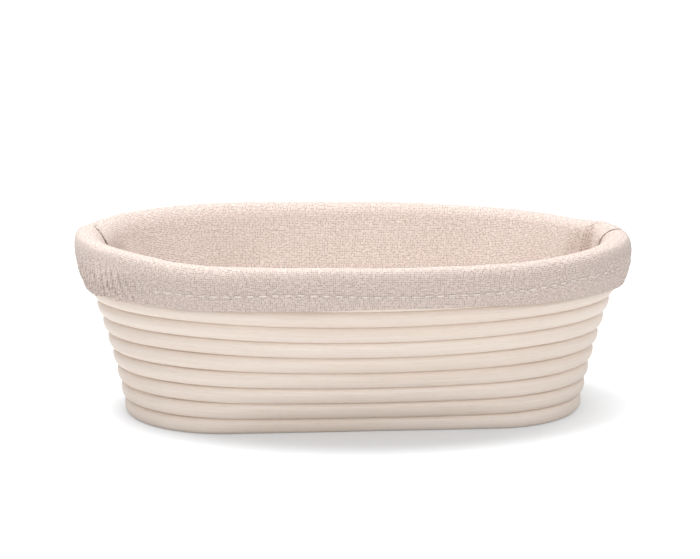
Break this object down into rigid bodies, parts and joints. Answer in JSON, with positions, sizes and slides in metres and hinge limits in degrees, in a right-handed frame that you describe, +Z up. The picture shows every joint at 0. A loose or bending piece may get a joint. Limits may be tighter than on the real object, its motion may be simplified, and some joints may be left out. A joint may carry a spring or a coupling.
{
  "type": "proofing basket",
  "caption": "Oval coiled-rattan bread proofing basket with a removable linen liner whose elasticated cuff turns over the rim.",
  "frame": {"origin": "centre of the underside, on the surface the basket stands on", "axes": "+Z up out of the mouth, +X along the long way of the oval, -Y towards the side that faces the viewer"},
  "size_m": [0.2564, 0.156, 0.0807],
  "materials": {
    "rattan": "natural peeled rattan core, unvarnished, fine lengthwise grain",
    "peg_wood": "plain dry wood",
    "linen": "undyed plain-weave linen, matt",
    "elastic": "woven elastic, matt",
    "thread": "spun sewing thread, matt"
  },
  "bodies": {
    "basket": {"base_core_cane": "rattan", "base_coil_cane": "rattan", "wall_cane_lower": "rattan", "wall_cane_middle": "rattan", "wall_cane_upper": "rattan", "base_peg_01": "peg_wood", "base_peg_02": "peg_wood", "base_peg_03": "peg_wood", "base_peg_04": "peg_wood", "base_peg_05": "peg_wood", "base_peg_06": "peg_wood", "base_peg_07": "peg_wood", "base_peg_08": "peg_wood", "base_peg_09": "peg_wood", "base_peg_10": "peg_wood", "wall_peg_01": "peg_wood", "wall_peg_02": "peg_wood", "wall_peg_03": "peg_wood", "wall_peg_04": "peg_wood", "wall_peg_05": "peg_wood", "wall_peg_06": "peg_wood", "wall_peg_07": "peg_wood", "wall_peg_08": "peg_wood", "wall_peg_09": "peg_wood", "wall_peg_10": "peg_wood", "wall_peg_11": "peg_wood", "wall_peg_12": "peg_wood", "wall_peg_13": "peg_wood", "wall_peg_14": "peg_wood", "wall_peg_15": "peg_wood", "wall_peg_16": "peg_wood", "wall_peg_17": "peg_wood", "wall_peg_18": "peg_wood", "wall_peg_19": "peg_wood", "wall_peg_20": "peg_wood", "wall_peg_21": "peg_wood", "wall_peg_22": "peg_wood", "wall_peg_23": "peg_wood", "wall_peg_24": "peg_wood", "wall_peg_25": "peg_wood", "wall_peg_26": "peg_wood", "wall_peg_27": "peg_wood"},
    "liner": {"liner_base_panel": "linen", "liner_side_band": "linen", "hem_elastic": "elastic", "hem_thread": "thread", "base_seam_thread": "thread"}
  },
  "joints": [
    {"name": "liner_lift", "type": "slide", "parent": "basket", "child": "liner", "axis": [0, 0, 1], "range_m": [0, 0.1], "deforming": ["liner_side_band", "hem_elastic", "hem_thread"]}
  ]
}
